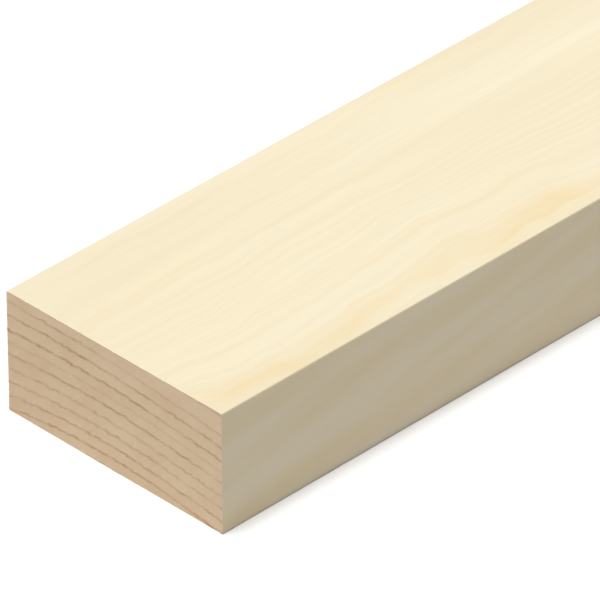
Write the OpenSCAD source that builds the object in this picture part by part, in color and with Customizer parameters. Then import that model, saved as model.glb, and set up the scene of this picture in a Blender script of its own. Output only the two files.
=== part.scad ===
// Planed softwood plank: one rectangular length of timber with square-cut
// ends and lightly eased long edges, lying flat on a broad face.
//
// The origin is at the middle of the underside. +X runs along the length,
// +Y across the width and +Z up through the thickness.

/* [Plank] */
// Length between the two sawn ends, mm
plank_length = 1800; // [300:50:6300]
// Width of the broad faces, mm
plank_width = 95; // [45:1:225]
// Thickness between the broad faces, mm
plank_thickness = 45; // [19:1:100]

/* [Edges] */
// Radius that eases each of the four long edges, mm
edge_radius = 0.5; // [0.2:0.1:3]

/* [Hidden] */

wood_color = [0.93, 0.85, 0.66];

// Distances of the edge arcs' centres from the section's middle
arc_y = plank_width / 2 - edge_radius;
arc_z = plank_thickness / 2 - edge_radius;

$fn = 48;

// The rectangle of the section with its four corners rounded
module section() {
    square([plank_width, 2 * arc_z], center = true);
    square([2 * arc_y, plank_thickness], center = true);
    for (side_y = [-1, 1], side_z = [-1, 1])
        translate([side_y * arc_y, side_z * arc_z])
            circle(r = edge_radius);
}

// The whole length: the section stood in the YZ plane and drawn along X
module plank() {
    color(wood_color)
        translate([-plank_length / 2, 0, plank_thickness / 2])
            rotate([90, 0, 90])
                linear_extrude(height = plank_length)
                    section();
}

plank();
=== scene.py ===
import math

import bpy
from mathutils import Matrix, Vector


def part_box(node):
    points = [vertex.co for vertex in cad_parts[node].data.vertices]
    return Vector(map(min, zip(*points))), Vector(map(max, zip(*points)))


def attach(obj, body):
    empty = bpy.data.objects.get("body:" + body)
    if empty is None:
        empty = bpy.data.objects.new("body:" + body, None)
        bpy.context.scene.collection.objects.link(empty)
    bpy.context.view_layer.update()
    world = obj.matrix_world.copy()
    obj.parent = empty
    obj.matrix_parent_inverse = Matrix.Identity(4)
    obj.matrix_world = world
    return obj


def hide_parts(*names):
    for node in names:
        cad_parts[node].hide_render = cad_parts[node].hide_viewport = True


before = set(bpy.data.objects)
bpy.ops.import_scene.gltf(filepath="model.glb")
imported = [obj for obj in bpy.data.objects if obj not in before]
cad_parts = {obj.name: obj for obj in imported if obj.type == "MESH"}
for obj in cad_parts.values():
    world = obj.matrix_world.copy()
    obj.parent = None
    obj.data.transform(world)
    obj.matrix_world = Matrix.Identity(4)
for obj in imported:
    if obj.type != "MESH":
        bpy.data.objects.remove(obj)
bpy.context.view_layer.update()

# The looks of a planed softwood plank: one modelled piece of timber that stands for the
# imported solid, its wood, a pale floor, soft light and the camera.
#
# The growth rings are one field: how deep below the top face a layer of wood grew. The same
# function adds its nodes to the material and to the relief, so the dark lines and the
# ridges of the sawn ends agree. Meshes, lights and camera are in metres. Inside the node
# trees lengths are in millimetres.

MM = 0.001

# ---------------------------------------------------------------- sizes, from the frame

low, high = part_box("plank")
LENGTH, WIDTH, THICKNESS = high - low

EDGE_RADIUS = 0.5 * MM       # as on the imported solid's long edges
ARC_STEPS = 4                # faces round each eased edge
FINE_ACROSS = 192            # fine cells across the sawn end
FINE_UP = 88                 # fine cells up the sawn end
CELL_ACROSS = (WIDTH - 2 * EDGE_RADIUS) / FINE_ACROSS
CELL_UP = (THICKNESS - 2 * EDGE_RADIUS) / FINE_UP
CELL_SHARE = 16              # fine cells to one long cell, away from the edges
SUPPORTS = (0, 1, 3)         # fine cells from an edge that also start a long cell
END_STATIONS = (0.0, 0.3 * MM, 0.8 * MM, 1.5 * MM, 2.5 * MM)   # fine loops near each end
LONG_STEP = 2.5 * MM         # spacing of the loops between them


# ---------------------------------------------------------------- the timber's mesh

def section_places():
    """Walks once round the section from the front of the underside.

    Returns, for each fine point, its (y, z), the grid point (i, j) of the sawn end that
    lies just inside it, and whether the long cells start there too.
    """
    corners = ((0, 0), (FINE_ACROSS, 0), (FINE_ACROSS, FINE_UP), (0, FINE_UP), (0, 0))
    places = []
    for side in range(4):
        begin, end = corners[side], corners[side + 1]
        cells = FINE_ACROSS if side % 2 == 0 else FINE_UP
        facing = math.radians(90 * (side - 1))
        turns = [(s, facing) for s in range(cells + 1)]
        turns += [(cells, facing + math.radians(90 * m / ARC_STEPS)) for m in range(1, ARC_STEPS)]
        for s, angle in turns:
            i = round(begin[0] + (end[0] - begin[0]) * s / cells)
            j = round(begin[1] + (end[1] - begin[1]) * s / cells)
            y = low.y + EDGE_RADIUS + i * CELL_ACROSS + EDGE_RADIUS * math.cos(angle)
            z = low.z + EDGE_RADIUS + j * CELL_UP + EDGE_RADIUS * math.sin(angle)
            from_edge = min(s, cells - s)
            long_cell = from_edge in SUPPORTS or (from_edge > SUPPORTS[-1] and s % CELL_SHARE == 0)
            places.append(((y, z), (i, j), long_cell))
    return places


def strip(one, other, count):
    """Faces between two loops, each given as {place round the section: vertex}.

    A place that only one of them has becomes an extra corner of the face beside it.
    """
    shared = [p for p in range(count) if p in one and p in other]
    faces = []
    for a, b in zip(shared, shared[1:] + [shared[0] + count]):
        forward = [one[p % count] for p in range(a, b + 1) if p % count in one]
        back = [other[p % count] for p in range(b, a - 1, -1) if p % count in other]
        faces.append(forward + back)
    return faces


def long_stations():
    """The X of every loop, and whether it is a fine one."""
    first = END_STATIONS[-1] + LONG_STEP
    steps = round((LENGTH - 2 * first) / LONG_STEP)
    middle = [first + (LENGTH - 2 * first) * k / steps for k in range(steps + 1)]
    near = [(low.x + s, True) for s in END_STATIONS]
    far = [(high.x - s, True) for s in reversed(END_STATIONS)]
    return near + [(low.x + s, False) for s in middle] + far


def sawn_end(x, rim, places, verts):
    """Faces of one sawn end, all facing +X: a fine grid, and a border along the eased edges."""
    first = len(verts)
    for j in range(FINE_UP + 1):
        z = low.z + EDGE_RADIUS + j * CELL_UP
        for i in range(FINE_ACROSS + 1):
            verts.append((x, low.y + EDGE_RADIUS + i * CELL_ACROSS, z))

    def grid(i, j):
        return first + j * (FINE_ACROSS + 1) + i

    faces = [
        [grid(i, j), grid(i + 1, j), grid(i + 1, j + 1), grid(i, j + 1)]
        for j in range(FINE_UP)
        for i in range(FINE_ACROSS)
    ]
    for p in range(len(places)):
        after = (p + 1) % len(places)
        inner = [grid(*places[p][1])]
        if places[after][1] != places[p][1]:
            inner.insert(0, grid(*places[after][1]))
        faces.append([rim[p], rim[after]] + inner)
    return faces


def timber_mesh():
    """The whole plank as one closed mesh, with its long faces before its end faces."""
    places = section_places()
    count = len(places)
    verts, loops = [], []
    for x, fine in long_stations():
        loop = {}
        for p, ((y, z), _, long_cell) in enumerate(places):
            if fine or long_cell:
                loop[p] = len(verts)
                verts.append((x, y, z))
        loops.append(loop)
    faces = []
    for one, other in zip(loops, loops[1:]):
        faces += strip(one, other, count)
    long_faces = len(faces)
    faces += [face[::-1] for face in sawn_end(low.x, loops[0], places, verts)]
    near_faces = len(faces)
    faces += sawn_end(high.x, loops[-1], places, verts)
    mesh = bpy.data.meshes.new("timber")
    mesh.from_pydata(verts, [], faces)
    add_bake_map(mesh, places, loops, long_faces, near_faces)
    return mesh


# ---------------------------------------------------------------- a map to bake on

MAP_MARGIN = 0.004           # share of the map left free round each island
END_MAP_HEIGHT = 0.235       # share of the map's height that the two sawn ends fill


def add_bake_map(mesh, places, loops, long_faces, near_faces):
    """Lays the four long faces side by side over the map's width, and both sawn ends below.

    Wood changes fast across the grain and slowly along it, so the long faces keep many
    more pixels across than along.
    """
    walked = [0.0]
    for here, after in zip(places, places[1:] + places[:1]):
        walked.append(walked[-1] + math.dist(here[0], after[0]))
    around = {v: walked[p] / walked[-1] for loop in loops for p, v in loop.items()}
    end_width = (1 - 3 * MAP_MARGIN) / 2
    long_low = END_MAP_HEIGHT + 2 * MAP_MARGIN
    long_high = 1 - MAP_MARGIN
    layer = mesh.uv_layers.new(name="OFBake")
    for number, face in enumerate(mesh.polygons):
        corners = [mesh.vertices[v].co for v in face.vertices]
        if number < long_faces:
            shares = [around[v] for v in face.vertices]
            if max(shares) - min(shares) > 0.5:      # the face that closes the walk round
                shares = [share or 1.0 for share in shares]
            spots = [
                (MAP_MARGIN + share * (1 - 2 * MAP_MARGIN),
                 long_low + (corner.x - low.x) / LENGTH * (long_high - long_low))
                for share, corner in zip(shares, corners)
            ]
        else:
            near = number < near_faces
            left = MAP_MARGIN if near else 2 * MAP_MARGIN + end_width
            spots = [
                (left + (high.y - c.y if near else c.y - low.y) / WIDTH * end_width,
                 MAP_MARGIN + (c.z - low.z) / THICKNESS * END_MAP_HEIGHT)
                for c in corners
            ]
        for loop, spot in zip(face.loop_indices, spots):
            layer.data[loop].uv = spot


# ---------------------------------------------------------------- arithmetic in node trees

class Field:
    """A number that a node tree works out at every point. Arithmetic adds Math nodes."""

    def __init__(self, tree, socket):
        self.tree = tree
        self.socket = socket

    def node(self, operation, *values):
        made = self.tree.nodes.new("ShaderNodeMath")
        made.operation = operation
        for slot, value in zip(made.inputs, values):
            plug(self.tree, value, slot)
        return Field(self.tree, made.outputs[0])

    def __add__(self, other):
        return self.node("ADD", self, other)

    def __sub__(self, other):
        return self.node("SUBTRACT", self, other)

    def __rsub__(self, other):
        return self.node("SUBTRACT", other, self)

    def __mul__(self, other):
        return self.node("MULTIPLY", self, other)

    def __truediv__(self, other):
        return self.node("DIVIDE", self, other)

    def __abs__(self):
        return self.node("ABSOLUTE", self)

    __radd__ = __add__
    __rmul__ = __mul__

    def sign(self):
        return self.node("SIGN", self)

    def cos(self):
        return self.node("COSINE", self)

    def exp(self):
        return self.node("EXPONENT", self)

    def least(self, other):
        return self.node("MINIMUM", self, other)

    def most(self, other):
        return self.node("MAXIMUM", self, other)

    def rise(self, start, stop):
        """0 up to start, 1 from stop, smooth between them."""
        made = self.tree.nodes.new("ShaderNodeMapRange")
        made.interpolation_type = "SMOOTHSTEP"
        plug(self.tree, self, made.inputs["Value"])
        plug(self.tree, start, made.inputs["From Min"])
        plug(self.tree, stop, made.inputs["From Max"])
        return Field(self.tree, made.outputs["Result"])


def plug(tree, value, slot):
    """Gives a node's input a field, a socket or a plain value."""
    if isinstance(value, Field):
        tree.links.new(value.socket, slot)
    elif isinstance(value, bpy.types.NodeSocket):
        tree.links.new(value, slot)
    else:
        slot.default_value = value


class Place:
    """Three fields: a spot in the timber, in mm, or a direction."""

    def __init__(self, x, y, z):
        self.tree = x.tree
        self.x = x
        self.y = y
        self.z = z


def place_of(tree, output, scale=1.0):
    """The spot or direction that a vector output gives."""
    split = tree.nodes.new("ShaderNodeSeparateXYZ")
    tree.links.new(output, split.inputs[0])
    return Place(*[Field(tree, socket) * scale for socket in split.outputs])


def vector(tree, x, y, z):
    """One vector output made of three fields or numbers."""
    made = tree.nodes.new("ShaderNodeCombineXYZ")
    for slot, value in zip(made.inputs, (x, y, z)):
        plug(tree, value, slot)
    return made.outputs[0]


def noise(place, size, detail=2.0, seed=0.0):
    """Cloudy noise, mostly from -0.5 to 0.5.

    Size is a cloud's extent along X, Y and Z in mm. Seed moves the place to other clouds.
    """
    tree = place.tree
    x, y, z = [here / extent + seed for here, extent in zip((place.x, place.y, place.z), size)]
    made = tree.nodes.new("ShaderNodeTexNoise")
    plug(tree, vector(tree, x, y, z), made.inputs["Vector"])
    plug(tree, 1.0, made.inputs["Scale"])
    plug(tree, detail, made.inputs["Detail"])
    return Field(tree, made.outputs[0]) - 0.5


def curve(field, points):
    """The height that straight lines through these points, given as (x, y), have at x = field."""
    made = field.tree.nodes.new("ShaderNodeFloatCurve")
    first, last = points[0][0], points[-1][0]
    highest = max(y for _, y in points)
    drawn = made.mapping.curves[0].points
    for _ in points[2:]:
        drawn.new(0.5, 0.5)
    for corner, (x, y) in zip(drawn, points):
        corner.location = ((x - first) / (last - first), y / highest)
        corner.handle_type = "VECTOR"
    made.mapping.update()
    plug(field.tree, (field - first) / (last - first), made.inputs["Value"])
    return Field(field.tree, made.outputs[0]) * highest


def mix(tree, one, other, share):
    """A colour that goes from one to the other as share goes from 0 to 1."""
    made = tree.nodes.new("ShaderNodeMix")
    made.data_type = "RGBA"
    plug(tree, share, made.inputs["Factor"])
    plug(tree, one, made.inputs[6])              # the colour sockets A and B, whose names
    plug(tree, other, made.inputs[7])            # the number and vector sockets share
    return made.outputs[2]


# ---------------------------------------------------------------- how the wood grew

HALF_LENGTH_MM = LENGTH / 2 / MM
HALF_WIDTH_MM = WIDTH / 2 / MM
THICKNESS_MM = THICKNESS / MM

FAINT, SOFT, FIRM = 0.3, 0.6, 0.9       # how strongly a year's line can show

# The hard line that closes each year: how deep below the top face it crosses the middle of
# the near end, mm, and how strongly it shows. Years count downwards, towards the pith.
YEAR_LINES = (
    (-9.0, SOFT),
    (-2.8, FIRM),
    (4.5, SOFT),
    (9.0, FIRM),
    (14.0, FIRM),
    (18.0, FAINT),
    (22.0, FIRM),
    (27.0, SOFT),
    (31.5, SOFT),
    (36.0, FIRM),
    (40.5, FIRM),
    (45.0, FIRM),
    (50.0, FIRM),
    (56.0, FIRM),
)

BOW_MM = 1.2                 # how far a ring at the top face arches up in the middle
BOW_GAIN = 0.07              # how much more a deeper one does so, per mm of depth
LEAN_MM = 2.3                # how far a ring at the top face comes down towards the front edge
LEAN_LOSS = 0.04             # how much less a deeper one does so, per mm of depth

STEADY_MM = 180.0            # the near stretch, along which the rings keep their places
SWEEP_MM = 2.6               # half the depth that the stem's slow curve swings through
SWEEP_LENGTH_MM = 2400.0     # length of the stem in which it swings down and back
ROAM_MM = 2.4                # how far the rings roam beyond the near stretch
ROAM_START_MM = 300.0        # the stretch after it, over which they start to roam
WANDER_MM = 2.4              # how far the grain's waves swing at the front edge
CALM = 0.85                  # the share of them that is gone just behind the middle and beyond

LINE_MM = 0.36               # how far a line spreads to each side
SMEARED_MM = 0.1             # how much further it spreads where the saw has torn it
TORN_MM = 1.5                # how far in from a sawn end the saw has torn the lines
JAGGED_MM = 2.3              # how far it has dragged them up and down

# Seeds of the noises that shape the near stretch, picked out of thousands for their patterns.
WANDER_SEED = 877.45
FADING_SEED = 142.65
SEAM_SEED = 331.1
STRAND_SEED = 422.1


def along_saw(place):
    """The place turned about X, so that Y runs across the saw's marks and Z along them."""
    share = math.sqrt(0.5)
    return Place(place.x, (place.y + place.z) * share, (place.z - place.y) * share)


def near_cut(place):
    """1 at the sawn ends, and next to nothing a few mm in from them."""
    return ((HALF_LENGTH_MM - abs(place.x)) / -TORN_MM).exp()


def growth_depth(place):
    """How deep below the top face the wood here grew, mm, as counted at the near end."""
    below = THICKNESS_MM - place.z
    across = place.y / HALF_WIDTH_MM
    bow = BOW_MM + BOW_GAIN * below
    lean = LEAN_MM - LEAN_LOSS * below
    along = (place.x + (HALF_LENGTH_MM - STEADY_MM)).most(0.0)
    sweep = SWEEP_MM - SWEEP_MM * (along * (2 * math.pi / SWEEP_LENGTH_MM)).cos()
    roam = ROAM_MM * noise(place, (300, 70, 50), seed=3.7) * (along / ROAM_START_MM).least(1.0)
    calm = CALM * across.rise(-1.0, 0.3)
    waves = noise(place, (28, 40, 40), detail=0.8, seed=WANDER_SEED)
    wander = WANDER_MM * waves * (1 - calm)
    torn = JAGGED_MM * noise(along_saw(place), (60, 2.4, 9), detail=2.5) * near_cut(place)
    return below - bow * across * across + lean * across + sweep + roam + wander + torn


def distances():
    """Points of the distance from the nearest year line, over the depth."""
    lines = [line for line, _ in YEAR_LINES]
    points = []
    for one, other in zip(lines, lines[1:]):
        points += [(one, 0.0), ((one + other) / 2, (other - one) / 2)]
    return points + [(lines[-1], 0.0)]


def year_lines(place, depth):
    """The thin dark lines that close the years, from 0 beside them to about 1 on a firm one."""
    away = curve(depth, distances()) / (LINE_MM + SMEARED_MM * near_cut(place))
    firm = curve(depth, YEAR_LINES)
    fading = (0.95 + 2.0 * noise(place, (26, 28, 4), detail=1.0, seed=FADING_SEED)).most(0.0)
    gaps = noise(along_saw(place), (60, 2.6, 8), detail=1.0, seed=8.8)
    broken = 1.0 + 2.6 * gaps * near_cut(place)
    return (away * away * -1.0).exp() * firm * fading * broken


def saw_marks(place):
    """The faint slanting marks that the saw left on the ends, from about -0.5 to 0.5."""
    return noise(along_saw(place), (50, 0.9, 16), seed=5.5)


# ---------------------------------------------------------------- relief

SOFT_MM = 0.09               # how far the soft wood sinks below the year lines, on the ends
SAWN_MM = 0.08               # how deep the saw's marks can be
FLUFF_MM = 0.06              # how rough the torn fibres are
SKIM_MM = 0.03               # how much further the whole of a sawn end sinks
LEAST_WORN_MM = 0.02         # how far the long edges are worn all along
KNOCKED_MM = 0.14            # and how much further where they have been knocked
LEAST_BLUNT_MM = 0.03        # how far the rims of the sawn ends are blunted all round
CHIPPED_MM = 0.30            # and how much further where they have chipped
EDGE_REACH_MM = (0.3, 1.6)   # how far from a long edge the wear starts to fade, and ends
RIM_REACH_MM = (0.3, 2.2)    # how far from a sawn end the blunting and chips do


def add_relief(timber):
    """Geometry nodes that cut the sawn ends' texture and the slight wear of the edges.

    Every move goes inwards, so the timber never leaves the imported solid's box.
    """
    tree = bpy.data.node_groups.new("timber_relief", "GeometryNodeTree")
    tree.interface.new_socket("Geometry", in_out="INPUT", socket_type="NodeSocketGeometry")
    tree.interface.new_socket("Geometry", in_out="OUTPUT", socket_type="NodeSocketGeometry")
    source = tree.nodes.new("NodeGroupInput")
    result = tree.nodes.new("NodeGroupOutput")
    position = tree.nodes.new("GeometryNodeInputPosition")
    place = place_of(tree, position.outputs[0], 1 / MM)
    middle = place.z - THICKNESS_MM / 2

    from_end = HALF_LENGTH_MM - abs(place.x)
    from_side = HALF_WIDTH_MM - abs(place.y)
    from_broad = THICKNESS_MM / 2 - abs(middle)

    # 1 on the sawn ends, the narrow faces and the broad faces, and 0 a little way in.
    on_end = 1 - from_end.rise(0.05, 0.1)
    on_side = 1 - from_side.rise(0.3, 0.6)
    on_broad = 1 - from_broad.rise(0.3, 0.6)

    soft = SOFT_MM * (1 - year_lines(place, growth_depth(place)))
    fluff = noise(place, (9, 0.8, 0.8), detail=3.0, seed=2.2)
    torn = SAWN_MM * saw_marks(place).most(-0.2) + FLUFF_MM * fluff
    sunk = (soft + torn + SKIM_MM).most(0.0) * on_end

    at_edge = 1 - from_side.most(from_broad).rise(*EDGE_REACH_MM)
    at_rim = 1 - from_end.rise(*RIM_REACH_MM)
    knocks = noise(place, (12, 7, 7), detail=3.0, seed=4.4).rise(0.05, 0.3)
    chips = noise(place, (4, 1.6, 1.6), detail=3.0, seed=6.6).rise(0.0, 0.3)
    worn = at_edge * (LEAST_WORN_MM + KNOCKED_MM * knocks)
    chipped = at_rim * (LEAST_BLUNT_MM + CHIPPED_MM * chips)
    inwards = worn + chipped

    move = vector(
        tree,
        place.x.sign() * sunk * -MM,
        place.y.sign() * on_side * inwards * -MM,
        middle.sign() * on_broad * inwards * -MM,
    )
    shift = tree.nodes.new("GeometryNodeSetPosition")
    tree.links.new(source.outputs[0], shift.inputs["Geometry"])
    tree.links.new(move, shift.inputs["Offset"])
    tree.links.new(shift.outputs[0], result.inputs[0])
    timber.modifiers.new("relief", "NODES").node_group = tree


# ---------------------------------------------------------------- the wood's colour and finish

def tone(red, green, blue):
    """A colour given as screen values from 0 to 255."""
    linear = [((c / 255 + 0.055) / 1.055) ** 2.4 for c in (red, green, blue)]
    return (*linear, 1.0)


FACE_PALE = tone(226, 216, 190)
FACE_CREAM = tone(218, 206, 176)
FACE_DULL = tone(205, 194, 166)
FACE_AMBER = tone(219, 196, 149)
# The narrow faces' two tones are darker and greyer than the broad faces' tones. That is painted
# shade of the dimmer light on the sides, laid over the wood's own grey-to-warm streaks.
SIDE_GREY_PAINTED_SHADE = tone(216, 203, 177)
SIDE_WARM_PAINTED_SHADE = tone(212, 196, 161)
END_LIGHT = tone(226, 201, 168)
END_DULL = tone(219, 190, 156)
END_LINE = tone(186, 154, 118)
END_FLECK = tone(234, 212, 182)
FLECK = tone(176, 140, 98)

FACE_LINE_SHARE = 0.58       # how strongly a year line tints a broad face
SIDE_LINE_SHARE = 0.10       # how strongly it tints a narrow one
END_LINE_SHARE = 0.78        # how strongly it darkens a sawn end
FLECK_SHARE = 0.45           # how strongly fibres and ducts tint the planed faces
STREAK_RISE = 0.16           # how steeply the narrow faces' streaks climb along the plank
BUMP_MM = 0.03               # height of the relief that is too fine for the mesh


def broad_colour(place, line, seams, strands):
    """The two broad faces: cream, with pale clouds, dull strands and amber year lines."""
    tree = place.tree
    clouds = noise(place, (190, 24, 24), seed=7.7)
    face = mix(tree, FACE_CREAM, FACE_PALE, 0.5 + 1.6 * clouds)
    face = mix(tree, face, FACE_DULL, 0.15 + 0.6 * strands)
    return mix(tree, face, FACE_AMBER, 0.2 * seams.rise(0.0, 0.3) + FACE_LINE_SHARE * line)


def narrow_colour_painted_shade(place, line, seams, strands):
    """The two narrow faces: grey to warm, in streaks that climb slowly along the plank. Their
    tones are darker and greyer than the broad faces': painted shade of the dimmer light on the
    sides, laid over the streaks that the wood really has.
    """
    tree = place.tree
    leaning = Place(place.x, place.y, place.z - STREAK_RISE * place.x)
    streaks = noise(leaning, (90, 30, 9), detail=1.5, seed=55.0)
    side = mix(tree, SIDE_GREY_PAINTED_SHADE, SIDE_WARM_PAINTED_SHADE, 0.4 + 2.8 * streaks + 0.8 * seams + 0.8 * strands)
    return mix(tree, side, FACE_AMBER, SIDE_LINE_SHARE * line)


def sawn_colour(place, line, pores):
    """The two sawn ends: tan and blotchy, with light chips and dark year lines."""
    tree = place.tree
    rays = noise(place, (60, 0.3, 18), detail=1.0, seed=12.0)
    blotch = noise(place, (40, 15, 9), seed=14.0)
    chips = noise(along_saw(place), (40, 0.9, 3.5), detail=1.0, seed=16.0).rise(0.14, 0.34)
    dulled = 0.45 + 1.9 * blotch + 0.7 * rays + 0.8 * pores + 0.7 * saw_marks(place)
    end = mix(tree, END_LIGHT, END_DULL, dulled)
    end = mix(tree, end, END_FLECK, 0.6 * chips)
    return mix(tree, end, END_LINE, (END_LINE_SHARE * line).least(1.0))


def timber_material():
    """Planed softwood: three kinds of cut through the same rings."""
    material = bpy.data.materials.new("planed_softwood")
    material.use_nodes = True
    tree = material.node_tree
    tree.nodes.clear()
    spot = tree.nodes.new("ShaderNodeTexCoord")
    place = place_of(tree, spot.outputs["Object"], 1 / MM)
    facing = place_of(tree, spot.outputs["Normal"])
    is_end = abs(facing.x).rise(0.5, 0.8)
    is_side = abs(facing.y).rise(0.5, 0.8)

    # Seams and strands follow the rings, so their noise is taken at the depth of growth.
    depth = growth_depth(place)
    line = year_lines(place, depth)
    grown = Place(place.x, depth + 0.03 * place.y, place.y)
    seams = noise(grown, (170, 0.45, 55), seed=SEAM_SEED)
    strands = noise(grown, (110, 0.13, 40), seed=STRAND_SEED)
    fibres = noise(place, (55, 0.55, 0.55), detail=3.0, seed=0.4)
    threads = noise(place, (22, 0.25, 0.25), seed=9.2)
    ducts = noise(place, (5.0, 0.42, 0.42), detail=0.0, seed=11.0).rise(0.27, 0.36)
    pores = noise(place, (3, 0.35, 0.35), seed=13.0)

    broad = broad_colour(place, line, seams, strands)
    narrow = narrow_colour_painted_shade(place, line, seams, strands)
    grain = 0.35 * (fibres + 0.6 * threads).rise(-0.05, 0.7) + 0.3 * ducts
    # The narrow faces take their darker, greyer tones here: painted shade of the light on the
    # sides, over their real streaks.
    wood = mix(tree, broad, narrow, is_side)
    wood = mix(tree, wood, FLECK, grain * FLECK_SHARE)
    wood = mix(tree, wood, sawn_colour(place, line, pores), is_end)
    rough = 0.56 + 0.12 * fibres - 0.08 * line + 0.2 * is_end
    height = (fibres + 0.5 * threads) * (1 - is_end) + (pores + 1.5 * saw_marks(place)) * is_end

    bump = tree.nodes.new("ShaderNodeBump")
    bump.inputs["Distance"].default_value = BUMP_MM * MM
    plug(tree, height, bump.inputs["Height"])
    shader = tree.nodes.new("ShaderNodeBsdfPrincipled")
    shader.inputs["Specular IOR Level"].default_value = 0.25
    plug(tree, wood, shader.inputs["Base Color"])
    plug(tree, rough, shader.inputs["Roughness"])
    plug(tree, bump.outputs[0], shader.inputs["Normal"])
    output = tree.nodes.new("ShaderNodeOutputMaterial")
    tree.links.new(shader.outputs[0], output.inputs["Surface"])
    return material


# ---------------------------------------------------------------- the timber

SHARP_DEGREES = 50           # a sharper turn than this is shaded as an edge

mesh = timber_mesh()
mesh.materials.append(timber_material())
mesh.shade_smooth()
mesh.set_sharp_from_angle(angle=math.radians(SHARP_DEGREES))
timber = bpy.data.objects.new("planed_timber", mesh)
bpy.context.scene.collection.objects.link(timber)
add_relief(timber)
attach(timber, "root")
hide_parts("plank")


# ---------------------------------------------------------------- floor, light and camera

FLOOR_HALF = 150.0           # half the floor's side in metres, to fill a low view from far away
FLOOR_TONE = tone(228, 228, 228)


def add_floor():
    """A matt, very pale grey floor that the plank lies on."""
    material = bpy.data.materials.new("pale_floor")
    material.use_nodes = True
    shader = material.node_tree.nodes["Principled BSDF"]
    shader.inputs["Base Color"].default_value = FLOOR_TONE
    shader.inputs["Roughness"].default_value = 0.9
    shader.inputs["Specular IOR Level"].default_value = 0.0
    mesh = bpy.data.meshes.new("floor")
    corners = ((-1, -1), (1, -1), (1, 1), (-1, 1))
    mesh.from_pydata([(x * FLOOR_HALF, y * FLOOR_HALF, low.z) for x, y in corners], [], [range(4)])
    mesh.materials.append(material)
    floor = bpy.data.objects.new("floor", mesh)
    bpy.context.scene.collection.objects.link(floor)


def add_lights():
    """A wide soft lamp high overhead, leaning a little to the near end, and a pale sky."""
    lamp = bpy.data.lights.new("overhead", "SUN")
    lamp.energy = 3.72
    lamp.angle = math.radians(20)
    overhead = bpy.data.objects.new("overhead", lamp)
    overhead.rotation_euler = (0.0, math.radians(-7), 0.0)
    bpy.context.scene.collection.objects.link(overhead)
    world = bpy.data.worlds.new("sky")
    world.use_nodes = True
    sky = world.node_tree.nodes["Background"]
    sky.inputs["Color"].default_value = (1.0, 1.0, 1.0, 1.0)
    sky.inputs["Strength"].default_value = 0.18
    bpy.context.scene.world = world


def add_camera():
    """A long lens that looks down on the near corner: from the front, left and above."""
    aim = Vector((low.x + 60.4 * MM, low.y + 26.7 * MM, high.z))     # the picture's middle
    distance = 3.1726                        # of the camera from that spot
    heading = math.radians(45.283)           # of the line of sight, from +X towards +Y
    down = math.radians(34.307)              # of the line of sight, below the level
    roll = Matrix.Rotation(math.radians(-0.313), 4, "Z")
    sight = Vector((
        math.cos(down) * math.cos(heading),
        math.cos(down) * math.sin(heading),
        -math.sin(down),
    ))
    camera = bpy.data.objects.new("camera", bpy.data.cameras.new("camera"))
    camera.data.sensor_width = 36.0
    camera.data.lens = 616.0
    turn = sight.to_track_quat("-Z", "Y").to_matrix().to_4x4()
    camera.matrix_world = Matrix.Translation(aim - sight * distance) @ turn @ roll
    bpy.context.scene.collection.objects.link(camera)
    bpy.context.scene.camera = camera


add_floor()
add_lights()
add_camera()
bpy.context.scene.view_settings.view_transform = "Standard"
